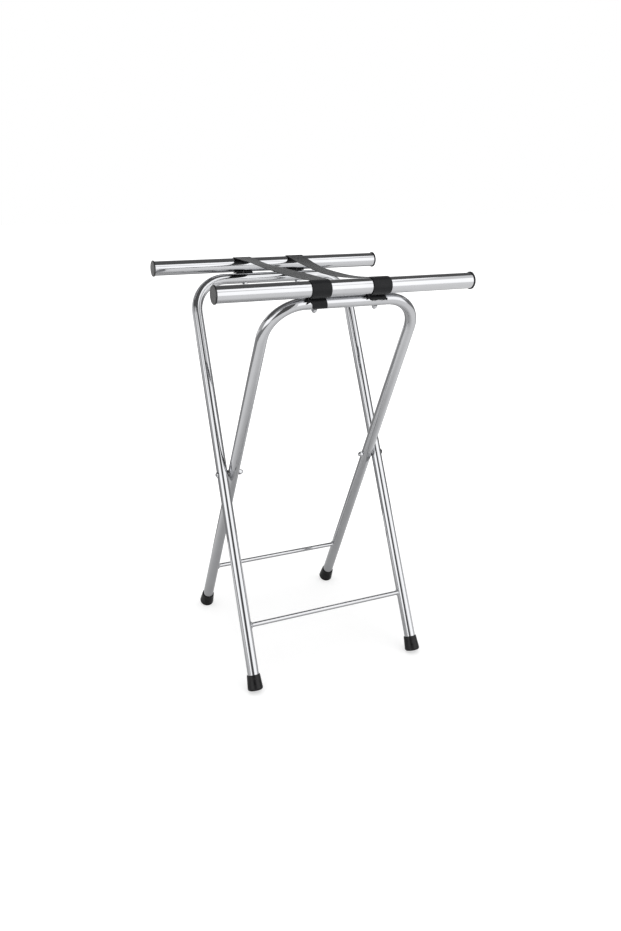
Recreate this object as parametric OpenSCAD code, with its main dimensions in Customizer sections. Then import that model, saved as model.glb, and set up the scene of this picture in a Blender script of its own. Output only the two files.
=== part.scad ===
// Folding tray stand: two inverted-U tube frames crossed on one pivot axis, a round rail
// bolted on top of each frame, and two webbing straps that stop the frames from spreading.
// The origin is on the floor under the middle of the stand. X runs along the rails,
// Y runs from the front rail to the back rail and Z is up. All sizes are in millimetres.

/* [Frames] */
// Lean of each frame from the vertical when the stand is open, in degrees
leg_angle = 25.3; // [20:0.1:30]
// Distance along a leg from the pivot up to the centre of its rail
leg_upper = 434; // [400:1:470]
// Distance along a leg from the pivot down to the tip of its foot
leg_lower = 417; // [390:1:450]
// Distance between the leg centres of the outer frame
outer_span = 352.4; // [345:0.2:420]
// Outside diameter of the frame tube
tube_d = 22; // [18:0.5:25]
// Wall of the frame tube
tube_wall = 1.2; // [1:0.1:2]
// Bend radius at the top corners of a frame, at the middle of the tube
bend_r = 70; // [50:1:72]

/* [Rails] */
// Outside diameter of a rail
rail_d = 30; // [26:0.5:34]
// Wall of a rail
rail_wall = 1.2; // [1:0.1:2]
// Length of a rail without its end plugs
rail_length = 510; // [400:1:600]
// Diameter of the hole in the top of a rail that the bolt is put in through
access_d = 13; // [12:0.5:16]

/* [End plugs] */
// Diameter of the flange that covers the end of a rail
plug_flange_d = 33.4; // [31:0.1:36]
// Thickness of the flange
plug_flange_t = 2.5; // [1.5:0.1:4]
// Length of the plug inside the rail
plug_depth = 16; // [10:1:25]
// Wall of the hollow plug
plug_wall = 2; // [1.5:0.1:3]

/* [Straps] */
// Width of the webbing
strap_w = 38; // [25:1:40]
// Thickness of the webbing
strap_t = 1.6; // [1:0.1:2.5]
// Distance from the start of the inner frame's bend to the edge of a strap
strap_inset = 2.5; // [0:0.5:20]
// How far the left strap sags at the middle of its span
sag_left = 3; // [2:0.5:25]
// How far the right strap sags at the middle of its span
sag_right = 17; // [4:0.5:25]
// Length of the folded tab that shows on the inner side of a rail
strap_tab = 7; // [6:0.5:12]
// Length of the long cut tail that lies over the frame tube
tail_long = 24; // [10:1:28]
// Length of the short cut tail
tail_short = 14; // [8:1:28]

/* [Stretcher rods] */
// Diameter of the rod that braces the legs of a frame
rod_d = 9; // [6:0.5:11]
// Distance along a leg of the outer frame from the tip of its foot up to the rod
outer_rod_rise = 119.5; // [90:0.5:170]
// Distance along a leg of the inner frame from the tip of its foot up to the rod
inner_rod_rise = 123; // [90:0.5:170]
// Width of the weld fillet round a rod's end
weld_w = 1.6; // [1:0.1:2.5]

/* [Bolts and nuts] */
// Diameter of the rail bolts and the pivot bolts
bolt_d = 6; // [5:0.5:8]
// Diameter of the head of a rail bolt, which sits inside the rail
rail_head_d = 10.5; // [9:0.5:12]
// Height of the head of a rail bolt
rail_head_h = 4; // [3:0.5:6]
// Diameter of the low round head of a pivot bolt
pivot_head_d = 13; // [11:0.5:16]
// Height of the low round head of a pivot bolt
pivot_head_h = 3.6; // [2.5:0.1:5]
// Size of a cap nut across its flats
nut_af = 10; // [9:0.5:13]
// Height of the hexagon of a cap nut
nut_hex_h = 4.5; // [4:0.5:8]
// Height of a cap nut with its dome
nut_h = 9.5; // [9:0.5:14]
// Diameter of the dome of a cap nut
nut_dome_d = 9; // [8.5:0.1:12]
// Diameter of the washer between two legs
spacer_d = 14; // [12:0.5:18]
// Thickness of the washer between two legs
spacer_t = 1; // [0.8:0.1:3]

/* [Feet] */
// Outside diameter of a rubber foot at its lower edge
foot_d = 30; // [27:0.1:34]
// Thickness of the rubber round the leg at the foot's upper edge
foot_wall = 2; // [1.5:0.1:4]
// Length of a rubber foot along the leg
foot_h = 29; // [24:1:40]
// Thickness of rubber under the end of the leg
foot_base = 5; // [4:0.5:10]
// Rounding of the foot's lower edge
foot_round = 4; // [3:0.5:6]
// Rounding of the foot's upper edge
foot_lip = 1.2; // [0.8:0.1:1.6]
// Depth of the flat worn on the foot where it meets the floor
foot_flat = 0.8; // [0.5:0.1:1.5]

/* [Clearances] */
// Space round the webbing where it lies on a tube
strap_clear = 0.3; // [0.2:0.05:0.5]
// Space between a bolt and its hole, on the radius
hole_clear = 0.05; // [0.02:0.01:0.1]
// Space round a bolt in a hole that it only passes through
pass_clear = 0.3; // [0.2:0.05:0.5]
// Space beside the inner leg, towards the washer and towards the cap nut
side_clear = 0.4; // [0.3:0.05:0.8]
// Space between faces that are pressed or welded together
seat_clear = 0.02; // [0.01:0.01:0.05]

/* [Hidden] */

$fn = 64;
LEFT = -1;
RIGHT = 1;
// A cut runs this far past the face that it starts from
past = 1;

tube_r = tube_d / 2;
rail_r = rail_d / 2;
bolt_r = bolt_d / 2;
foot_r = foot_d / 2;
foot_top_r = tube_r + seat_clear + foot_wall;

// Half spans of the two frames: the inner one passes inside the outer one with a washer between
outer_half = outer_span / 2;
inner_half = outer_half - tube_d - spacer_t - side_clear;

// Heights along a leg, from the pivot: top tube, start of the bends and cut end of the leg
top_drop = rail_r + tube_r + 2 * strap_t + 2 * strap_clear;
top_z = leg_upper - top_drop;
bend_z = top_z - bend_r;
leg_end_z = foot_base - leg_lower;

// The straps and their bolts keep to the straight top of the narrower frame
strap_x = inner_half - bend_r - strap_inset - strap_w / 2;

// The rounded edge of a leaning foot meets the floor, less the worn flat
foot_reach = (foot_r - foot_round) * sin(leg_angle) + foot_round * (1 - cos(leg_angle));
pivot_z = leg_lower * cos(leg_angle) + foot_reach - foot_flat;

// Places of the two rails' centres when the stand is open
rail_y = leg_upper * sin(leg_angle);
rail_z = pivot_z + leg_upper * cos(leg_angle);

// A strap lies on the top of each rail
strap_in_r = rail_r + strap_clear;
strap_mid_r = strap_in_r + strap_t / 2;

// A strap leaves each rail a little past its top, at this angle, and sags between them on one arc
function leave_angle(side) = 2 * atan((side == LEFT ? sag_left : sag_right) / rail_y);

// The tail lies on the frame tube
tail_in_r = tube_r + strap_clear;

// A rail bolt's head seats inside the rail, on the curved lower wall
rail_in_r = rail_r - rail_wall;
head_seat = sqrt(pow(rail_in_r, 2) - pow(rail_head_d / 2, 2)) - seat_clear;
nut_face = top_drop + tube_r + seat_clear;
// Bolts reach half way into a cap nut, and the nut's bore goes a little deeper
nut_grip = nut_h / 2;
nut_bore = nut_grip + side_clear;
bolt_hole_d = bolt_d + 2 * hole_clear;
// Holes that a bolt only passes through
bolt_pass_d = bolt_d + 2 * pass_clear;

// Puts what is drawn in a frame's own plane, pivot at the origin and outer side at +Y, in its place
module in_outer_frame() {
    translate([0, 0, pivot_z]) rotate([-leg_angle, 0, 0]) children();
}

module in_inner_frame() {
    translate([0, 0, pivot_z]) rotate([leg_angle, 0, 0]) mirror([0, 1, 0]) children();
}

// Bent bar of an inverted U: two legs, two corner bends and the top
module u_bar(half_span, d, extra = 0) {
    flat_half = half_span - bend_r;
    for (side = [LEFT, RIGHT]) {
        translate([side * half_span, 0, bend_z])
            mirror([0, 0, 1]) cylinder(d = d, h = bend_z - leg_end_z + extra);
        translate([side * flat_half, 0, bend_z])
            rotate([90, 0, 0]) rotate([0, 0, side == RIGHT ? 0 : 90])
                rotate_extrude(angle = 90) translate([bend_r, 0]) circle(d = d);
    }
    translate([-flat_half, 0, top_z]) rotate([0, 90, 0]) cylinder(d = d, h = 2 * flat_half);
}

// Hollow frame tube with its pivot holes and rail bolt holes
module frame_tube(half_span) {
    color("silver")
        difference() {
            u_bar(half_span, tube_d);
            u_bar(half_span, tube_d - 2 * tube_wall, past);
            for (side = [LEFT, RIGHT]) {
                translate([side * half_span - tube_d, 0, 0])
                    rotate([0, 90, 0]) cylinder(d = bolt_hole_d, h = 2 * tube_d);
                translate([side * strap_x, 0, top_z - tube_d])
                    cylinder(d = bolt_pass_d, h = 2 * tube_d);
            }
        }
}

// Rod between two legs, cut to their round sides, with a weld fillet at each end
module stretcher_rod(half_span, rise) {
    color("silver")
        translate([0, 0, rise - leg_lower])
            difference() {
                union() {
                    translate([-half_span, 0, 0]) rotate([0, 90, 0]) cylinder(d = rod_d, h = 2 * half_span);
                    for (side = [LEFT, RIGHT])
                        translate([side * half_span, 0, 0]) rotate([0, -90 * side, 0]) {
                            cylinder(d = rod_d + 2 * weld_w, h = tube_r + weld_w / 2);
                            translate([0, 0, tube_r + weld_w / 2])
                                cylinder(d1 = rod_d + 2 * weld_w, d2 = rod_d, h = weld_w);
                        }
                }
                for (side = [LEFT, RIGHT])
                    translate([side * half_span, 0, -tube_d])
                        cylinder(r = tube_r + seat_clear, h = 2 * tube_d);
            }
}

// Straight rail with bolt holes below and wider holes above to put the bolts in through
module rail() {
    color("silver")
        translate([0, 0, leg_upper])
            difference() {
                translate([-rail_length / 2, 0, 0])
                    rotate([0, 90, 0]) cylinder(d = rail_d, h = rail_length);
                translate([-rail_length / 2 - past, 0, 0])
                    rotate([0, 90, 0]) cylinder(r = rail_in_r, h = rail_length + 2 * past);
                for (side = [LEFT, RIGHT])
                    translate([side * strap_x, 0, 0]) {
                        translate([0, 0, -rail_d]) cylinder(d = bolt_pass_d, h = rail_d);
                        cylinder(d = access_d, h = rail_d);
                    }
            }
}

// Hollow plug pushed into the end of a rail, with a rounded flange outside
module rail_plug(side) {
    spigot_d = 2 * rail_in_r - 2 * seat_clear;
    edge = plug_flange_t / 3;
    color("dimgray")
        translate([side * (rail_length / 2 + seat_clear), 0, leg_upper]) rotate([0, 90 * side, 0])
            difference() {
                union() {
                    cylinder(d = plug_flange_d, h = plug_flange_t - edge);
                    translate([0, 0, plug_flange_t - edge])
                        cylinder(d1 = plug_flange_d, d2 = plug_flange_d - 2 * edge, h = edge);
                    translate([0, 0, -plug_depth]) cylinder(d = spigot_d, h = plug_depth + edge);
                }
                translate([0, 0, -plug_depth - past])
                    cylinder(d = spigot_d - 2 * plug_wall, h = plug_depth + past);
            }
}

// Bolt that clamps a rail and the strap's end on the frame, put in from inside the rail
module rail_bolt(side) {
    socket_af = bolt_d * 2 / 3;
    tip = nut_face + nut_grip;
    color("gainsboro")
        translate([side * strap_x, 0, leg_upper]) difference() {
            union() {
                translate([0, 0, -head_seat]) cylinder(d = rail_head_d, h = rail_head_h);
                translate([0, 0, -tip]) cylinder(d = bolt_d, h = tip - head_seat + rail_head_h / 2);
            }
            translate([0, 0, -head_seat + rail_head_h / 2])
                cylinder(d = socket_af / cos(30), h = rail_head_h, $fn = 6);
        }
}

// Cap nut with its face at the origin and its dome towards -Z
module cap_nut() {
    dome_r = nut_dome_d / 2;
    dome_start = nut_h - dome_r;
    color("gainsboro")
        difference() {
            union() {
                translate([0, 0, -nut_hex_h]) cylinder(d = nut_af / cos(30), h = nut_hex_h, $fn = 6);
                translate([0, 0, -dome_start]) cylinder(r = dome_r, h = dome_start);
                translate([0, 0, -dome_start]) sphere(r = dome_r);
            }
            translate([0, 0, -nut_bore]) cylinder(d = bolt_hole_d, h = nut_bore + past);
        }
}

module rail_nut(side) {
    translate([side * strap_x, 0, leg_upper - nut_face]) cap_nut();
}

// Low round head outside the outer leg, shank through both legs and into the cap nut
module pivot_bolt(side) {
    head_face = outer_half + tube_r + seat_clear;
    tip = inner_half - tube_r - side_clear - nut_grip;
    head_r = pivot_head_d / 2;
    ball_r = (pow(head_r, 2) + pow(pivot_head_h, 2)) / (2 * pivot_head_h);
    color("gainsboro")
        rotate([0, 90 * side, 0]) {
            translate([0, 0, tip]) cylinder(d = bolt_d, h = head_face - tip + pivot_head_h / 2);
            translate([0, 0, head_face]) intersection() {
                translate([0, 0, pivot_head_h - ball_r]) sphere(r = ball_r, $fn = 128);
                cylinder(r = head_r, h = pivot_head_h + past);
            }
        }
}

module pivot_nut(side) {
    translate([side * (inner_half - tube_r - side_clear), 0, 0]) rotate([0, 90 * side, 0]) cap_nut();
}

// Washer between the two legs, seated on the outer one
module pivot_washer(side) {
    color("lightgray")
        translate([side * (outer_half - tube_r - seat_clear), 0, 0]) rotate([0, -90 * side, 0])
            difference() {
                cylinder(d = spacer_d, h = spacer_t - seat_clear);
                translate([0, 0, -past]) cylinder(d = bolt_hole_d, h = spacer_t + 2 * past);
            }
}

// Rubber foot on the end of a leg, flared towards the floor, its lower edge rounded
module foot_body() {
    flare_end = foot_h - foot_lip;
    rotate_extrude() difference() {
        union() {
            polygon([
                [0, 0], [foot_r - foot_round, 0], [foot_r - foot_round, foot_round], [foot_r, foot_round],
                [foot_top_r, flare_end], [foot_top_r - foot_lip, flare_end], [foot_top_r - foot_lip, foot_h],
                [0, foot_h]
            ]);
            intersection() {
                translate([foot_r - foot_round, foot_round]) circle(r = foot_round);
                square([foot_r, foot_round]);
            }
            translate([foot_top_r - foot_lip, flare_end]) circle(r = foot_lip);
        }
        translate([0, foot_base - seat_clear]) square([tube_r + seat_clear, foot_h]);
    }
}

module foot(half_span, side) {
    translate([side * half_span, 0, -leg_lower]) foot_body();
}

// Takes away what lies below the floor
module above_floor() {
    reach = 2 * (leg_lower + outer_span);
    color("dimgray")
        difference() {
            children();
            translate([-reach / 2, -reach / 2, -foot_d]) cube([reach, reach, foot_d]);
        }
}

// Band of webbing round an axis along X, between two angles that start at +Y and turn towards +Z
module band(inner_r, from, to) {
    rotate([90, 0, 90]) rotate([0, 0, from])
        rotate_extrude(angle = to - from) translate([inner_r, -strap_w / 2]) square([strap_t, strap_w]);
}

// Part of a ring of webbing in section, between two angles
module ring_section(inner_r, from, to) {
    far = 4 * inner_r;
    steps = ceil((to - from) / 60);
    corners = [for (i = [0 : steps]) from + (to - from) * i / steps];
    intersection() {
        difference() {
            circle(r = inner_r + strap_t);
            circle(r = inner_r);
        }
        polygon(concat([[0, 0]], [for (a = corners) far * [cos(a), sin(a)]]));
    }
}

// Section of a strap's end: round the rail, folded double under it and out over the frame tube
module strap_end_section(side, tail) {
    tab_top = leg_upper - strap_in_r;
    // The doubled part reaches past the bolt hole, and the layers part from inside it
    lap = (bolt_pass_d + strap_t) / 2;
    wrap_from = asin(strap_t / strap_in_r) - 90;
    tail_from = 90 - asin(strap_t / tail_in_r);
    tail_turn = tail / (tail_in_r + strap_t / 2) * 180 / PI;
    translate([0, leg_upper]) ring_section(strap_in_r, wrap_from, 90 + leg_angle + leave_angle(side));
    translate([0, top_z]) ring_section(tail_in_r, 90 - tail_turn, tail_from);
    translate([-strap_tab, tab_top - 2 * strap_t]) square([strap_tab + lap, 2 * strap_t]);
    translate([-strap_tab, tab_top - strap_t]) circle(r = strap_t);
}

// End of a strap with the hole for its bolt
module strap_end(side, tail) {
    color("dimgray")
        translate([side * strap_x, 0, 0]) difference() {
            translate([-strap_w / 2, 0, 0]) rotate([90, 0, 90])
                linear_extrude(strap_w) strap_end_section(side, tail);
            translate([0, 0, top_z]) cylinder(d = bolt_pass_d, h = top_drop);
        }
}

// Half of a strap's free span: dir is +1 for the half at the back rail and -1 for the front
module strap_run(side, dir) {
    leave = leave_angle(side);
    sag_r = rail_y / sin(leave) - strap_mid_r;
    sag_z = rail_z + rail_y / tan(leave);
    // Angle of the sag arc that opens the strap by its clearance
    run_gap = strap_clear / sag_r * 180 / PI;
    reach = leave - run_gap;
    opening = run_gap / 2;
    color("gray")
        translate([side * strap_x, 0, sag_z])
            mirror([0, dir == 1 ? 0 : 1, 0]) band(sag_r - strap_t / 2, opening - 90, reach - 90);
}

in_outer_frame() frame_tube(outer_half);  // outer_frame_tube
in_inner_frame() frame_tube(inner_half);  // inner_frame_tube
in_outer_frame() stretcher_rod(outer_half, outer_rod_rise);  // outer_stretcher_rod
in_inner_frame() stretcher_rod(inner_half, inner_rod_rise);  // inner_stretcher_rod
in_outer_frame() rail();  // back_rail
in_inner_frame() rail();  // front_rail
in_outer_frame() rail_plug(LEFT);  // back_rail_plug_left
in_outer_frame() rail_plug(RIGHT);  // back_rail_plug_right
in_inner_frame() rail_plug(LEFT);  // front_rail_plug_left
in_inner_frame() rail_plug(RIGHT);  // front_rail_plug_right
in_outer_frame() rail_bolt(LEFT);  // back_rail_bolt_left
in_outer_frame() rail_bolt(RIGHT);  // back_rail_bolt_right
in_inner_frame() rail_bolt(LEFT);  // front_rail_bolt_left
in_inner_frame() rail_bolt(RIGHT);  // front_rail_bolt_right
in_outer_frame() rail_nut(LEFT);  // back_rail_nut_left
in_outer_frame() rail_nut(RIGHT);  // back_rail_nut_right
in_inner_frame() rail_nut(LEFT);  // front_rail_nut_left
in_inner_frame() rail_nut(RIGHT);  // front_rail_nut_right
in_outer_frame() pivot_bolt(LEFT);  // pivot_bolt_left
in_outer_frame() pivot_bolt(RIGHT);  // pivot_bolt_right
in_outer_frame() pivot_nut(LEFT);  // pivot_nut_left
in_outer_frame() pivot_nut(RIGHT);  // pivot_nut_right
in_outer_frame() pivot_washer(LEFT);  // pivot_washer_left
in_outer_frame() pivot_washer(RIGHT);  // pivot_washer_right
above_floor() in_outer_frame() foot(outer_half, LEFT);  // foot_front_left
above_floor() in_outer_frame() foot(outer_half, RIGHT);  // foot_front_right
above_floor() in_inner_frame() foot(inner_half, LEFT);  // foot_back_left
above_floor() in_inner_frame() foot(inner_half, RIGHT);  // foot_back_right
in_outer_frame() strap_end(LEFT, tail_short);  // strap_back_end_left
in_outer_frame() strap_end(RIGHT, tail_long);  // strap_back_end_right
in_inner_frame() strap_end(LEFT, tail_long);  // strap_front_end_left
in_inner_frame() strap_end(RIGHT, tail_short);  // strap_front_end_right
strap_run(LEFT, 1);  // strap_back_run_left
strap_run(RIGHT, 1);  // strap_back_run_right
strap_run(LEFT, -1);  // strap_front_run_left
strap_run(RIGHT, -1);  // strap_front_run_right
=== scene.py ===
# Folding tray stand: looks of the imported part, built around its CAD frame
import math
import random
from collections import namedtuple

import bmesh
import bpy
import numpy as np
from mathutils import Matrix, Vector


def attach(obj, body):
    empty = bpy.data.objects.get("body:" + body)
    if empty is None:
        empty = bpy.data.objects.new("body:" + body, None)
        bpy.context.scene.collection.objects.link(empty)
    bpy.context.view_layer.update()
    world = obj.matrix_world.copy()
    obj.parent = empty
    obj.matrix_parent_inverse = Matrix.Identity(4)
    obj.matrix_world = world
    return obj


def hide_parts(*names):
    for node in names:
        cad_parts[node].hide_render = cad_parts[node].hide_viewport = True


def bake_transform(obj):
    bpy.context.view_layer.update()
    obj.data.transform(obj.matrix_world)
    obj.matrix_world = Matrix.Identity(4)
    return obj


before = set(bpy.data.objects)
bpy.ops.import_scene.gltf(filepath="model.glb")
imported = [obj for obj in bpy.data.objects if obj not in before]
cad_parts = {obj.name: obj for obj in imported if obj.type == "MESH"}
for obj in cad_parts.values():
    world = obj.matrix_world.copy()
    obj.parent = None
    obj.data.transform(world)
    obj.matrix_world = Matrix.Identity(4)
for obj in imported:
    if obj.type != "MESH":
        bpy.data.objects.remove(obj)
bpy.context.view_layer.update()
scene = bpy.context.scene
MM = 0.001

# Sizes of the part, in millimetres, as its source has them
LEG_ANGLE = math.radians(25.3)
LEG_UPPER = 434.0
PIVOT_Z = 381.28703
RAIL_Y = 185.47331
RAIL_Z = 773.65886
RAIL_R = 15.0
TUBE_R = 11.0
STRAP_W = 38.0
STRAP_T = 1.6
STRAP_CLEAR = 0.3
STRAP_X = 61.3
TAIL_LONG = 24.0
TAIL_SHORT = 14.0
TAIL_R = TUBE_R + STRAP_CLEAR + STRAP_T / 2
WRAP_R = RAIL_R + STRAP_CLEAR + STRAP_T / 2
SAG = {"left": 3.0, "right": 17.0}
LEG_HALF = {"outer": 176.2, "inner": 152.8}
ROD_R = 4.5
# Heights along the leg from the pivot: the top tube's middle and each frame's rod
TOP_Z = 404.2
ROD_Z = {"outer": -297.5, "inner": -294.0}
# The frame that carries each rail, the way it leans at the top, and the side of a strap or leg
FRAME = {"back": "outer", "front": "inner"}
WAY = {"outer": 1.0, "inner": -1.0}
SIGN = {"left": -1.0, "right": 1.0}

EVEN = (1.0, 1.0, 1.0)
WHITE = (1.0, 1.0, 1.0, 1.0)
BLACK = (0.0, 0.0, 0.0, 1.0)


def new_object(name, data):
    obj = bpy.data.objects.new(name, data)
    scene.collection.objects.link(obj)
    return obj


def smooth_piece(name, mesh, mat):
    """A new piece with a smooth surface."""
    mesh.polygons.foreach_set("use_smooth", [True] * len(mesh.polygons))
    mesh.materials.append(mat)
    return new_object(name, mesh)


def leaned(y, z):
    """Where the open stand has a point of an upright frame with its pivot at the origin."""
    c = math.cos(LEG_ANGLE)
    s = math.sin(LEG_ANGLE)
    return y * c + z * s, z * c - y * s + PIVOT_Z


def directions(points):
    """Unit direction of a line of points at each of them."""
    tangent = np.gradient(points, axis=0)
    return tangent / np.linalg.norm(tangent, axis=1)[:, None]


class Mat:
    """A node material with one Principled shader."""

    def __init__(self, name, **values):
        self.mat = bpy.data.materials.new(name)
        self.mat.use_nodes = True
        self.tree = self.mat.node_tree
        self.shader = self.tree.nodes["Principled BSDF"]
        for key, value in values.items():
            self.shader.inputs[key.replace("_", " ")].default_value = value

    def node(self, kind, **values):
        n = self.tree.nodes.new(kind)
        for key, value in values.items():
            if hasattr(n, key):
                setattr(n, key, value)
            else:
                n.inputs[key.replace("_", " ")].default_value = value
        return n

    def link(self, a, a_out, b, b_in):
        self.tree.links.new(a.outputs[a_out], b.inputs[b_in])

    def coords(self, scale=EVEN, kind="Object"):
        where = self.node("ShaderNodeTexCoord")
        mapping = self.node("ShaderNodeMapping", Scale=scale)
        self.link(where, kind, mapping, "Vector")
        return mapping

    def noise(self, where, scale, detail, rough):
        n = self.node("ShaderNodeTexNoise", Scale=scale, Detail=detail, Roughness=rough)
        self.link(where, "Vector", n, "Vector")
        return n

    def spread(self, source, out, low, high):
        n = self.node("ShaderNodeMapRange", From_Min=0.3, From_Max=0.7, To_Min=low, To_Max=high)
        self.link(source, out, n, "Value")
        return n

    def ramp(self, source, out, *stops):
        n = self.node("ShaderNodeValToRGB")
        for element, (place, colour) in zip(n.color_ramp.elements, stops):
            element.position = place
            element.color = (*colour, 1.0)
        self.link(source, out, n, "Fac")
        return n

    def bump(self, source, out, strength, distance, after=None):
        n = self.node("ShaderNodeBump", Strength=strength, Distance=distance)
        self.link(source, out, n, "Height")
        if after is not None:
            self.link(after, "Normal", n, "Normal")
        return n


# Materials
def chrome(name, tone, rough, lines):
    """Bright plate: smudges in the gloss, faint drawn lines along the tube and a soft ripple."""
    m = Mat(name, Metallic=1.0)
    place = m.coords()
    smudge = m.noise(place, scale=14.0, detail=5.0, rough=0.6)
    smudged = tuple(0.93 * t for t in tone)
    colour = m.ramp(smudge, "Fac", (0.25, smudged), (0.75, tone))
    m.link(colour, "Color", m.shader, "Base Color")
    gloss = m.spread(smudge, "Fac", low=rough * 0.7, high=rough * 1.6)
    m.link(gloss, "Result", m.shader, "Roughness")
    drawn = m.noise(m.coords(lines), scale=30.0, detail=4.0, rough=0.6)
    ripple = m.noise(place, scale=45.0, detail=2.0, rough=0.4)
    first = m.bump(drawn, "Fac", strength=0.025, distance=0.0004)
    second = m.bump(ripple, "Fac", strength=0.015, distance=0.001, after=first)
    m.link(second, "Normal", m.shader, "Normal")
    return m.mat


def webbing():
    """Black woven webbing: twisted yarns, fuzz, worn patches and a gloss at low angles."""
    m = Mat("webbing", Roughness=0.34, Specular_IOR_Level=0.15, Sheen_Weight=0.08,
            Sheen_Roughness=0.45, Sheen_Tint=(0.8, 0.82, 0.86, 1.0))
    place = m.coords(kind="UV")
    yarn = m.node("ShaderNodeTexWave", wave_type="BANDS", bands_direction="DIAGONAL",
                  Scale=160.0, Distortion=1.2)
    m.link(place, "Vector", yarn, "Vector")
    worn = m.noise(place, scale=30.0, detail=5.0, rough=0.6)
    dark = (0.0105, 0.0109, 0.0122)
    faded = (0.0170, 0.0175, 0.0192)
    colour = m.ramp(worn, "Fac", (0.3, dark), (0.7, faded))
    m.link(colour, "Color", m.shader, "Base Color")
    fuzz = m.noise(m.coords(), scale=1500.0, detail=2.0, rough=0.6)
    first = m.bump(yarn, "Fac", strength=0.35, distance=0.0002)
    second = m.bump(fuzz, "Fac", strength=0.25, distance=0.0002, after=first)
    m.link(second, "Normal", m.shader, "Normal")
    return m.mat


def moulded(name, dark, pale, rough, shine, streaks, grain):
    """Moulded rubber or plastic: drawn-out streaks, patchy gloss and fine grain."""
    m = Mat(name, Specular_IOR_Level=shine)
    patch = m.noise(m.coords(streaks), scale=60.0, detail=4.0, rough=0.6)
    colour = m.ramp(patch, "Fac", (0.35, dark), (0.7, pale))
    m.link(colour, "Color", m.shader, "Base Color")
    gloss = m.spread(patch, "Fac", low=rough - 0.08, high=rough + 0.08)
    m.link(gloss, "Result", m.shader, "Roughness")
    fine = m.noise(m.coords(), scale=grain, detail=3.0, rough=0.6)
    bump = m.bump(fine, "Fac", strength=0.25, distance=0.0003)
    m.link(bump, "Normal", m.shader, "Normal")
    return m.mat


FRAME_CHROME = chrome("frame_chrome", tone=(0.56, 0.565, 0.58), rough=0.05, lines=(1.0, 1.0, 0.08))
RAIL_CHROME = chrome("rail_chrome", tone=(0.58, 0.585, 0.60), rough=0.055, lines=(0.03, 1.0, 1.0))
HARD_CHROME = chrome("hardware_chrome", tone=(0.52, 0.525, 0.54), rough=0.09, lines=EVEN)
WASHER = chrome("washer_steel", tone=(0.42, 0.42, 0.43), rough=0.28, lines=EVEN)
WEBBING = webbing()
PLUG = moulded("plug_plastic", dark=(0.017, 0.017, 0.018), pale=(0.026, 0.026, 0.027),
               rough=0.3, shine=0.4, streaks=EVEN, grain=900.0)
RUBBER = moulded("foot_rubber", dark=(0.005, 0.005, 0.0054), pale=(0.016, 0.016, 0.017),
                 rough=0.32, shine=0.26, streaks=(4.0, 4.0, 0.5), grain=700.0)


def node_material(name):
    """The material of a CAD node, by its name."""
    if "rail_plug" in name:
        return PLUG
    if name.startswith("foot_"):
        return RUBBER
    if "washer" in name:
        return WASHER
    if "bolt" in name or "nut" in name:
        return HARD_CHROME
    if name.endswith("_rail"):
        return RAIL_CHROME
    if name.startswith("strap"):
        return WEBBING
    return FRAME_CHROME


for name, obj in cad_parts.items():
    obj.data.materials.clear()
    obj.data.materials.append(node_material(name))


# Weave of the straps, in millimetres: columns of yarns across, stitches along, and rows of points
WEAVE_COLUMNS = 20
COLUMN_STEPS = 4
WEAVE_PERIOD = 3.6
ROW_STEP = 0.9
FOLD_STEP = 0.35
# Half thickness between yarns, what a yarn's round adds, and what it adds where it passes over
WEAVE_CORE = 0.52
YARN_ROUND = 0.10
YARN_OVER = 0.18
YARN_FULLNESS = 0.7
EDGE_ROUND = 1.3
# Ragged cut: most that one yarn and a clump of them are pulled back, and how far up that fades
JAG_YARN = 2.4
JAG_CLUMP = 2.0
CLUMP_STEPS = 6
JAG_REACH = 6.0
# Sway of the edges, as size, length and start of each wave
SWAY = ((0.25, 23.0, 0.0), (0.15, 9.0, 1.0))
# Share of the tail, from its fold, over which its left edge thins out
THINNED = 0.6
# Straight part of the fold that the tail makes under the rail
FOLD_REACH = 4.0
# How far the left edge of each half stands up halfway between its rail and mid-span
TILT = {
    ("back", "left"): 2.2,
    ("back", "right"): 1.6,
    ("front", "left"): -1.2,
    ("front", "right"): 0.3,
}
# Tail length, sideways shift of the tail at its fold, more of it at its cut, shift on the rail,
# and left edge lost at the cut
End = namedtuple("End", "tail shift slant aside lost")
ENDS = {
    ("back", "left"): End(TAIL_SHORT, 3.0, -1.5, 0.0, 1.0),
    ("back", "right"): End(TAIL_LONG, -4.0, 2.0, 0.0, 2.0),
    ("front", "left"): End(TAIL_LONG, -3.0, 4.0, -1.6, 9.0),
    ("front", "right"): End(TAIL_SHORT, -3.8, 3.4, -3.5, 4.0),
}


def arc(cy, cz, r, a0, a1, step):
    n = max(2, int(abs(a1 - a0) * r / step) + 1)
    return [(cy + r * math.cos(a), cz + r * math.sin(a)) for a in np.linspace(a0, a1, n)]


def straight(y0, y1, z, step):
    n = max(2, int(abs(y1 - y0) / step) + 1)
    return [(y, z) for y in np.linspace(y0, y1, n)]


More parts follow.
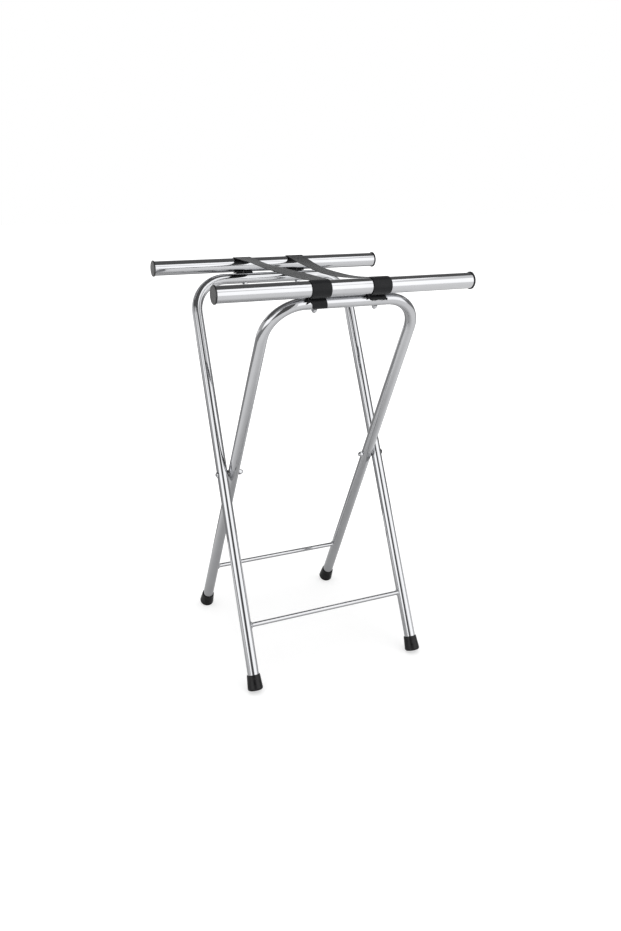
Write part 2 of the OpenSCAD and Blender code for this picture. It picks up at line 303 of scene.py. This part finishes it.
def strap_line(end, side):
    """Middle line of half a strap, drawn as a back one, and how many points go with its frame."""
    tail = ENDS[end, side].tail
    top = math.pi / 2
    low_layer = TOP_Z + TAIL_R
    high_layer = LEG_UPPER - WRAP_R
    fold_mid = (low_layer + high_layer) / 2
    fold_r = (high_layer - low_layer) / 2
    leave = 2 * math.atan(SAG[side] / RAIL_Y)
    sag_r = RAIL_Y / math.sin(leave) - WRAP_R
    sag_z = RAIL_Z + RAIL_Y / math.tan(leave)
    local = arc(0, TOP_Z, TAIL_R, top - tail / TAIL_R, top, ROW_STEP)
    local += straight(0, -FOLD_REACH, low_layer, ROW_STEP)[1:]
    local += arc(-FOLD_REACH, fold_mid, fold_r, -top, -top - math.pi, FOLD_STEP)[1:]
    local += straight(-FOLD_REACH, 0, high_layer, ROW_STEP)[1:]
    local += arc(0, LEG_UPPER, WRAP_R, -top, top + LEG_ANGLE + leave, ROW_STEP)[1:]
    line = [leaned(y, z) for y, z in local]
    line += [(-y, z) for y, z in arc(0, sag_z, sag_r, -top - leave, -top, ROW_STEP)[1:]]
    return np.array(line), len(local)


def strap_columns():
    """Places across a strap, the yarn column of each, how full the yarn and how thick the edge is."""
    count = WEAVE_COLUMNS * COLUMN_STEPS + 1
    across = np.linspace(-STRAP_W / 2, STRAP_W / 2, count)
    pitch = STRAP_W / WEAVE_COLUMNS
    column = np.minimum(np.arange(count) // COLUMN_STEPS, WEAVE_COLUMNS - 1)
    bulge = np.abs(np.sin(np.pi * (across + STRAP_W / 2) / pitch)) ** YARN_FULLNESS
    from_edge = STRAP_W / 2 - np.abs(across)
    edge = 0.5 + 0.5 * np.sqrt(np.clip(from_edge / EDGE_ROUND, 0, 1))
    return across, column, bulge, edge


def ragged_cut(rng, count):
    """How far the strap's cut is pulled back at each place across, by single yarns and by clumps."""
    yarns = np.array([rng.uniform(0.0, JAG_YARN) for _ in range(count)])
    clumps = np.array([rng.uniform(0.0, JAG_CLUMP) for _ in range(count // CLUMP_STEPS + 1)])
    return 0.5 * yarns + 0.5 * clumps[np.arange(count) // CLUMP_STEPS]


def strap_points(end, side):
    """Points of a back half in rows, top then underside, with their weave places and the length."""
    tail, shift, slant, aside, lost = ENDS[end, side]
    aside_mid = (ENDS["back", side].aside + ENDS["front", side].aside) / 2
    rng = random.Random(f"strap {end} {side}")
    line, on_frame = strap_line(end, side)
    steps = np.linalg.norm(np.diff(line, axis=0), axis=1)
    along = np.concatenate([[0], np.cumsum(steps)])
    length = along[-1]
    run_start = along[on_frame - 1]
    across, column, bulge, edge = strap_columns()
    jag = ragged_cut(rng, len(across))
    points, weave = [], []
    for s, (y, z), (ty, tz) in zip(along, line, directions(line)):
        stitch = (length - s) / WEAVE_PERIOD + 0.5 * (column % 2)
        over = 0.5 + 0.5 * np.cos(2 * np.pi * stitch)
        above = (WEAVE_CORE + YARN_ROUND * bulge + YARN_OVER * bulge * over) * edge
        below = (WEAVE_CORE + YARN_ROUND * bulge + YARN_OVER * bulge * (1 - over)) * edge
        bend = np.clip((FOLD_REACH + tail - s) / FOLD_REACH, 0, 1)
        skew = shift * bend * bend * (3 - 2 * bend) + slant * np.clip(1 - s / tail, 0, 1)
        sway = sum(size * math.sin(s / reach + start) for size, reach, start in SWAY)
        hang = np.clip((s - run_start) / (length - run_start), 0, 1)
        tilt = -TILT[end, side] * across / (STRAP_W / 2) * math.sin(hang * math.pi) ** 2
        pull = jag * np.clip(1 - s / JAG_REACH, 0, 1)
        thin = np.clip((tail - s) / (THINNED * tail), 0, 1)
        narrow = across + lost * thin * (0.5 - across / STRAP_W)
        middle = SIGN[side] * STRAP_X + aside + (aside_mid - aside) * hang
        x = middle + skew + sway * (1 - hang) + narrow
        for off in (above + tilt, -below + tilt):
            points += list(zip(x, y + tz * off + ty * pull, z - ty * off + tz * pull))
            weave += [(s, a) for a in across]
    return np.array(points), np.array(weave), length


def band_faces(rows, count):
    """Faces of a closed band of rows, each with count points on top and count on the underside."""
    ring = list(range(count)) + list(range(2 * count - 1, count - 1, -1))
    faces = []
    for i in range(rows - 1):
        a = i * 2 * count
        b = a + 2 * count
        for p, q in zip(ring, ring[1:] + ring[:1]):
            faces.append((a + p, a + q, b + q, b + p))
    last = (rows - 1) * 2 * count
    for k in range(count - 1):
        faces.append((k + 1, k, count + k, count + k + 1))
        faces.append((last + k, last + k + 1, last + count + k + 1, last + count + k))
    return faces


def strap(end, side):
    """Half a strap as one closed woven band, from its frayed tail round the rail to mid-span."""
    name = f"strap_{end}_{side}"
    way = WAY[FRAME[end]]
    points, weave, length = strap_points(end, side)
    points *= MM
    points[:, 1] *= way
    count = WEAVE_COLUMNS * COLUMN_STEPS + 1
    faces = band_faces(len(points) // (2 * count), count)
    if way < 0:
        faces = [face[::-1] for face in faces]
    mesh = bpy.data.meshes.new(name)
    mesh.from_pydata([tuple(p) for p in points], [], faces)
    layer = mesh.uv_layers.new(name="weave")
    metric = weave[[loop.vertex_index for loop in mesh.loops]] * MM
    layer.data.foreach_set("uv", metric.astype(np.float32).ravel())
    obj = smooth_piece(name, mesh, WEBBING)
    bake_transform(obj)
    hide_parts(f"strap_{end}_end_{side}", f"strap_{end}_run_{side}")
    return obj, length


# Frayed yarns, in millimetres
YARN_SIDES = 5
YARN_TAPER = 0.6
YARN_BOW = 0.5
# Yarns of the cut: how many, how far back they start, and the ranges of their reach, rise and radius
CUT_YARNS = 70
CUT_BACK = 2.0
CUT_MARGIN = 0.5
CUT_SPREAD = 1.0
CUT_SPLAY = 0.6
CUT_REACH = (1.0, 3.2)
CUT_RISE = (0.0, 0.5)
CUT_RADIUS = (0.2, 0.34)
# Yarns of a tuft: how many, how they spread at the root and at the tip, and their reach and radius
TUFT_YARNS = 28
TUFT_INSET = 1.0
TUFT_ROOT = 2.5
TUFT_TIP = 0.4
TUFT_LIFT = 0.2
TUFT_SHARE = (0.75, 1.0)
TUFT_RADIUS = (0.4, 0.6)
# Frayed corners of each tail: edge, place along the tail, and each tuft's tip across, along and
# off the tube
TUFTS = {
    ("back", "left"): [(1, 12.0, [(1.9, 3.5, 0.5)])],
    ("back", "right"): [(-1, 21.0, [(-2.9, 3.4, 0.5)])],
    ("front", "left"): [(-1, 7.0, [(-8.0, -0.4, 14.0), (-9.5, 0.8, 5.0), (-7.0, 6.2, 0.8)])],
    ("front", "right"): [(-1, 7.0, [(-7.5, -0.5, 14.0), (-9.0, 0.8, 5.0), (-6.0, 4.0, 0.8)]),
                         (1, 12.0, [(1.8, 2.5, 0.5)])],
}


def tubes(name, paths, radii, mat):
    """Many fine yarns as one mesh of tapered tubes."""
    verts, faces = [], []
    for path, radius in zip(paths, radii):
        pts = np.array(path)
        first = len(verts)
        last = first + (len(pts) - 1) * YARN_SIDES
        for i, (p, t) in enumerate(zip(pts, directions(pts))):
            steep = abs(t[2]) >= 0.8
            helper = np.array([0.0, 1.0, 0.0]) if steep else np.array([0.0, 0.0, 1.0])
            u = np.cross(t, helper)
            u /= np.linalg.norm(u)
            w = np.cross(t, u)
            r = radius * (1.0 - YARN_TAPER * i / (len(pts) - 1))
            for k in range(YARN_SIDES):
                a = 2 * math.pi * k / YARN_SIDES
                verts.append(tuple((p + r * (math.cos(a) * u + math.sin(a) * w)) * MM))
        for a in range(first, last, YARN_SIDES):
            b = a + YARN_SIDES
            for k in range(YARN_SIDES):
                n = (k + 1) % YARN_SIDES
                faces.append((a + k, a + n, b + n, b + k))
        faces.append(tuple(first + k for k in reversed(range(YARN_SIDES))))
        faces.append(tuple(last + k for k in range(YARN_SIDES)))
    mesh = bpy.data.meshes.new(name)
    mesh.from_pydata(verts, [], faces)
    return smooth_piece(name, mesh, mat)


def tail_edges(end, side, run):
    """Left and right edge of a strap's tail at a distance along it from the top of the tube."""
    tail, shift, slant, aside, lost = ENDS[end, side]
    middle = SIGN[side] * STRAP_X + aside + shift + slant * run / tail
    left = middle - STRAP_W / 2 + lost * min(1.0, run / (THINNED * tail))
    return left, middle + STRAP_W / 2


def yarn_path(end, root, tip, rise, bow):
    """A bowed yarn on the tube; root and tip are places across and along the tail."""
    path = []
    for t in (0.0, 0.25, 0.5, 0.75, 1.0):
        swell = bow * math.sin(math.pi * t)
        x = root[0] + (tip[0] - root[0]) * t + swell
        run = root[1] + (tip[1] - root[1]) * t - swell
        r = TAIL_R + rise * t * t
        a = math.pi / 2 - run / TAIL_R
        y, z = leaned(r * math.cos(a), TOP_Z + r * math.sin(a))
        path.append((x, WAY[FRAME[end]] * y, z))
    return path


def cut_yarns(end, side, rng):
    """Short yarns along the whole cut: root, tip, rise and radius of each."""
    cut = ENDS[end, side].tail - CUT_BACK
    left, right = tail_edges(end, side, cut)
    for _ in range(CUT_YARNS):
        x = rng.uniform(left + CUT_MARGIN, right - CUT_MARGIN)
        run = cut - rng.uniform(0, CUT_SPREAD)
        tip = (x + rng.gauss(0, CUT_SPLAY), run + rng.uniform(*CUT_REACH))
        yield (x, run), tip, rng.uniform(*CUT_RISE), rng.uniform(*CUT_RADIUS)


def tuft_yarns(end, side, rng):
    """Yarns of the frayed corners: root, tip, rise and radius of each."""
    def around(value, spread):
        return value + rng.uniform(-spread, spread)

    for edge, root_run, tufts in TUFTS[end, side]:
        left, right = tail_edges(end, side, root_run)
        root_x = left + TUFT_INSET if edge < 0 else right - TUFT_INSET
        for out, down, lift in tufts:
            for _ in range(TUFT_YARNS):
                root = (around(root_x, TUFT_ROOT), around(root_run, TUFT_ROOT))
                share = rng.uniform(*TUFT_SHARE)
                tip_x = around(root_x + share * out, TUFT_TIP)
                tip_run = around(root_run + share * down, TUFT_TIP)
                rise = around(share * lift, TUFT_LIFT)
                yield root, (tip_x, tip_run), rise, rng.uniform(*TUFT_RADIUS)


def fray(end, side):
    """Loose yarns at the cut end of a strap's tail, lying on the frame tube."""
    rng = random.Random(f"fray {end} {side}")
    paths, radii = [], []
    for yarns in (cut_yarns, tuft_yarns):
        for root, tip, rise, radius in yarns(end, side, rng):
            bow = rng.uniform(-YARN_BOW, YARN_BOW)
            paths.append(yarn_path(end, root, tip, rise, bow))
            radii.append(radius)
    obj = tubes(f"fray_{end}_{side}", paths, radii, WEBBING)
    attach(obj, f"{FRAME[end]}_frame")
    return obj


for end, side in ENDS:
    loose = fray(end, side)
    band, length = strap(end, side)


# Weld beads round the ends of the stretcher rods, in millimetres: scales in a ring, and their points
SCALES = 15
SCALE_RINGS = 5
SCALE_SIDES = 8
SCALE_STRAY = 0.06
SCALE_SIZES = (0.92, 1.08)
# Distance of a scale's middle from the rod and from the leg, and how it faces away from each
SCALE_OFF_ROD = 1.0
SCALE_OFF_LEG = 0.9
SCALE_FROM_ROD = 0.7
SCALE_FROM_LEG = 0.72
# Half sizes of a scale: off the metal, round the ring and across it
SCALE_HIGH = 1.0
SCALE_ROUND = 1.35
SCALE_ACROSS = 1.75


def scale_points(which, angle, size):
    """Points of one weld scale, a flattened ball in the corner of rod and leg."""
    c = math.cos(angle)
    s = math.sin(angle)
    y = (ROD_R + SCALE_OFF_ROD) * c
    z = (ROD_R + SCALE_OFF_ROD) * s
    x = LEG_HALF[which] - math.sqrt(TUBE_R ** 2 - y * y) - SCALE_OFF_LEG
    out = np.array([-SCALE_FROM_LEG, SCALE_FROM_ROD * c, SCALE_FROM_ROD * s])
    out /= np.linalg.norm(out)
    ring = np.array([0.0, -s, c])
    across = np.cross(out, ring)
    points = []
    for j in range(SCALE_RINGS + 1):
        lat = -math.pi / 2 + math.pi * j / SCALE_RINGS
        for k in range(SCALE_SIDES):
            lon = 2 * math.pi * k / SCALE_SIDES
            off = (SCALE_HIGH * math.sin(lat) * out
                   + SCALE_ROUND * math.cos(lat) * math.cos(lon) * ring
                   + SCALE_ACROSS * math.cos(lat) * math.sin(lon) * across)
            points.append(np.array([x, y, z]) + size * off)
    return points


def scale_faces(first):
    """Faces of one weld scale whose points start at a number."""
    faces = []
    for j in range(SCALE_RINGS):
        a = first + j * SCALE_SIDES
        b = a + SCALE_SIDES
        for k in range(SCALE_SIDES):
            n = (k + 1) % SCALE_SIDES
            faces.append((a + k, a + n, b + n, b + k))
    return faces


def weld(which, side):
    """A ring of overlapping weld scales where a rod meets its leg."""
    name = f"weld_{which}_{side}"
    rng = random.Random(name)
    verts, faces = [], []
    for i in range(SCALES):
        angle = 2 * math.pi * i / SCALES + rng.uniform(-SCALE_STRAY, SCALE_STRAY)
        size = rng.uniform(*SCALE_SIZES)
        faces += scale_faces(len(verts))
        for x, y, z in scale_points(which, angle, size):
            y, z = leaned(y, z + ROD_Z[which])
            verts.append((SIGN[side] * x * MM, WAY[which] * y * MM, z * MM))
    mesh = bpy.data.meshes.new(name)
    mesh.from_pydata(verts, [], faces)
    mesh.validate()
    bm = bmesh.new()
    bm.from_mesh(mesh)
    bmesh.ops.remove_doubles(bm, verts=bm.verts, dist=1e-7)
    bmesh.ops.recalc_face_normals(bm, faces=bm.faces)
    bm.to_mesh(mesh)
    bm.free()
    obj = smooth_piece(name, mesh, FRAME_CHROME)
    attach(obj, f"{which}_frame")


for which in LEG_HALF:
    for side in SIGN:
        weld(which, side)


# Camera at the photo's place, in metres
CAMERA_AT = Vector((-0.71409, -1.48941, 0.98844))
CAMERA_AIM = Vector((-0.05677, 0.0, 0.57770))
CAMERA_ROLL = 0.0092


def look(origin, target, roll):
    """Where an object stands that looks from one point at another, turned about its view."""
    forward = (target - origin).normalized()
    right = forward.cross(Vector((0, 0, 1))).normalized()
    up = right.cross(forward)
    right, up = (right * math.cos(roll) + up * math.sin(roll),
                 up * math.cos(roll) - right * math.sin(roll))
    turn = Matrix((right, up, -forward)).transposed()
    return Matrix.Translation(origin) @ turn.to_4x4()


camera = bpy.data.cameras.new("camera")
camera.sensor_width = 36.0
camera.lens = 32.519
camera.shift_x = 0.03487
camera.shift_y = -0.09882
scene.camera = new_object("camera", camera)
scene.camera.matrix_world = look(CAMERA_AT, CAMERA_AIM, CAMERA_ROLL)


# Floor and world: emission of the floor near the stand and far from it, and where it changes
FLOOR_HALF = 12.0
FLOOR_NEAR = 0.5
FLOOR_FAR = 0.42
FLOOR_CHANGE = (0.1, 0.8)
WORLD_LIGHT = 0.7
WORLD_SEEN = 1.0


def math_node(tree, operation, a, b):
    """A Math node of two values, each a number or a node with the name of its output."""
    n = tree.nodes.new("ShaderNodeMath")
    n.operation = operation
    for i, value in enumerate((a, b)):
        if isinstance(value, tuple):
            tree.links.new(value[0].outputs[value[1]], n.inputs[i])
        else:
            n.inputs[i].default_value = value
    return (n, "Value")


def seen_directly(tree):
    """1 for rays that show the background: from the camera, in metal and through glass."""
    path = tree.nodes.new("ShaderNodeLightPath")
    shown = math_node(tree, "MAXIMUM", (path, "Is Camera Ray"), (path, "Is Glossy Ray"))
    return math_node(tree, "MAXIMUM", shown, (path, "Is Transmission Ray"))


def floor_material():
    """Pale floor that turns to the white of the background away from the stand."""
    m = Mat("floor", Base_Color=(0.6, 0.6, 0.6, 1.0), Roughness=0.9, Specular_IOR_Level=0.0,
            Emission_Color=WHITE)
    where = m.node("ShaderNodeNewGeometry")
    size = m.node("ShaderNodeVectorMath", operation="LENGTH")
    m.link(where, "Position", size, 0)
    far = m.node("ShaderNodeMapRange", interpolation_type="SMOOTHSTEP",
                 From_Min=FLOOR_CHANGE[0], From_Max=FLOOR_CHANGE[1])
    m.link(size, "Value", far, "Value")
    white = math_node(m.tree, "MULTIPLY", seen_directly(m.tree), (far, "Result"))
    path = m.node("ShaderNodeLightPath")
    near = math_node(m.tree, "MULTIPLY", (path, "Is Camera Ray"), FLOOR_NEAR)
    lift = math_node(m.tree, "MULTIPLY", white, FLOOR_FAR)
    total, out = math_node(m.tree, "ADD", near, lift)
    m.link(total, out, m.shader, "Emission Strength")
    return m.mat


def white_world():
    """White surroundings, a little weaker as light than as they are seen."""
    world = bpy.data.worlds.new("world")
    world.use_nodes = True
    tree = world.node_tree
    sky = tree.nodes["Background"]
    sky.inputs["Color"].default_value = WHITE
    node, out = seen_directly(tree)
    level = tree.nodes.new("ShaderNodeMapRange")
    level.inputs["To Min"].default_value = WORLD_LIGHT
    level.inputs["To Max"].default_value = WORLD_SEEN
    tree.links.new(node.outputs[out], level.inputs["Value"])
    tree.links.new(level.outputs["Result"], sky.inputs["Strength"])
    return world


def rectangle(x, y, z):
    """Corners of a level or upright rectangle: two of x, y and z are spans, the third is a place."""
    if not isinstance(z, tuple):
        return [(x[0], y[0], z), (x[1], y[0], z), (x[1], y[1], z), (x[0], y[1], z)]
    if not isinstance(y, tuple):
        return [(x[0], y, z[0]), (x[1], y, z[0]), (x[1], y, z[1]), (x[0], y, z[1])]
    return [(x, y[0], z[0]), (x, y[1], z[0]), (x, y[1], z[1]), (x, y[0], z[1])]


def plane(name, corners, mat):
    """A flat piece of the surroundings."""
    mesh = bpy.data.meshes.new(name)
    mesh.from_pydata(corners, [], [tuple(range(len(corners)))])
    mesh.materials.append(mat)
    obj = new_object(name, mesh)
    return obj


FLOOR_SPAN = (-FLOOR_HALF, FLOOR_HALF)
plane("floor", rectangle(x=FLOOR_SPAN, y=FLOOR_SPAN, z=0), floor_material())
scene.world = white_world()


# Dark cards for the chrome to reflect, in metres: the room's sides, back and top, cards just over
# the floor, and a strip in front of the stand
ROOM_SIDE = 5.0
ROOM_BACK = 3.0
ROOM_TOP = 2.5
ROOM_SPAN = (-ROOM_SIDE, ROOM_SIDE)
OVER_FLOOR = 0.002
FLOOR_EDGE = 0.45
STRIP_SPAN = (-1.2, -0.1)
STRIP_FRONT = -1.55


def flag(name, corners, tone):
    """A dark card that only shows in reflections."""
    m = Mat(name, Base_Color=BLACK, Specular_IOR_Level=0.0, Emission_Color=WHITE,
            Emission_Strength=tone)
    card = plane(name, corners, m.mat)
    card.visible_camera = False
    card.visible_diffuse = False
    card.visible_shadow = False


flag("flag_wall", rectangle(x=ROOM_SPAN, y=ROOM_BACK, z=(0.8, ROOM_TOP)), tone=0.65)
flag("flag_top", [(-ROOM_SIDE, ROOM_BACK, ROOM_TOP), (ROOM_SIDE, ROOM_BACK, ROOM_TOP),
                  (ROOM_SIDE, 1.27, ROOM_TOP), (-ROOM_SIDE, -3.2, ROOM_TOP)], tone=0.13)
flag("flag_floor", rectangle(x=ROOM_SPAN, y=(FLOOR_EDGE, ROOM_BACK), z=OVER_FLOOR), tone=0.35)
flag("flag_right", rectangle(x=ROOM_SIDE, y=(-2.2, ROOM_BACK), z=(0.0, ROOM_TOP)), tone=0.26)
flag("flag_left", rectangle(x=-ROOM_SIDE, y=(-0.3, ROOM_BACK), z=(0.0, ROOM_TOP)), tone=0.6)
flag("flag_ground", rectangle(x=(-ROOM_SIDE, STRIP_SPAN[0]), y=(-2.0, FLOOR_EDGE), z=OVER_FLOOR),
     tone=0.3)
flag("flag_front", rectangle(x=STRIP_SPAN, y=STRIP_FRONT, z=(0.3, ROOM_TOP)), tone=0.12)
flag("flag_above", rectangle(x=STRIP_SPAN, y=(STRIP_FRONT, -0.4), z=ROOM_TOP), tone=0.12)


# Lamps
def lamp(name, place, aim, width, height, level):
    """A soft box whose face shines at the given level."""
    data = bpy.data.lights.new(name, "AREA")
    data.shape = "RECTANGLE"
    data.size = width
    data.size_y = height
    data.energy = level * math.pi * width * height
    obj = new_object(name, data)
    obj.matrix_world = look(Vector(place), Vector(aim), roll=0.0)


lamp("box_right", place=(1.70, -2.43, 1.3), aim=(0, 0, 0.6), width=3.1, height=2.4, level=0.74)
lamp("box_left", place=(-2.44, -1.14, 1.25), aim=(0, 0, 0.6), width=2.0, height=2.3, level=0.78)
lamp("box_top", place=(0, -1.0, 2.7), aim=(0, -0.99, 0), width=3.0, height=2.2, level=0.72)

scene.view_settings.view_transform = "Standard"
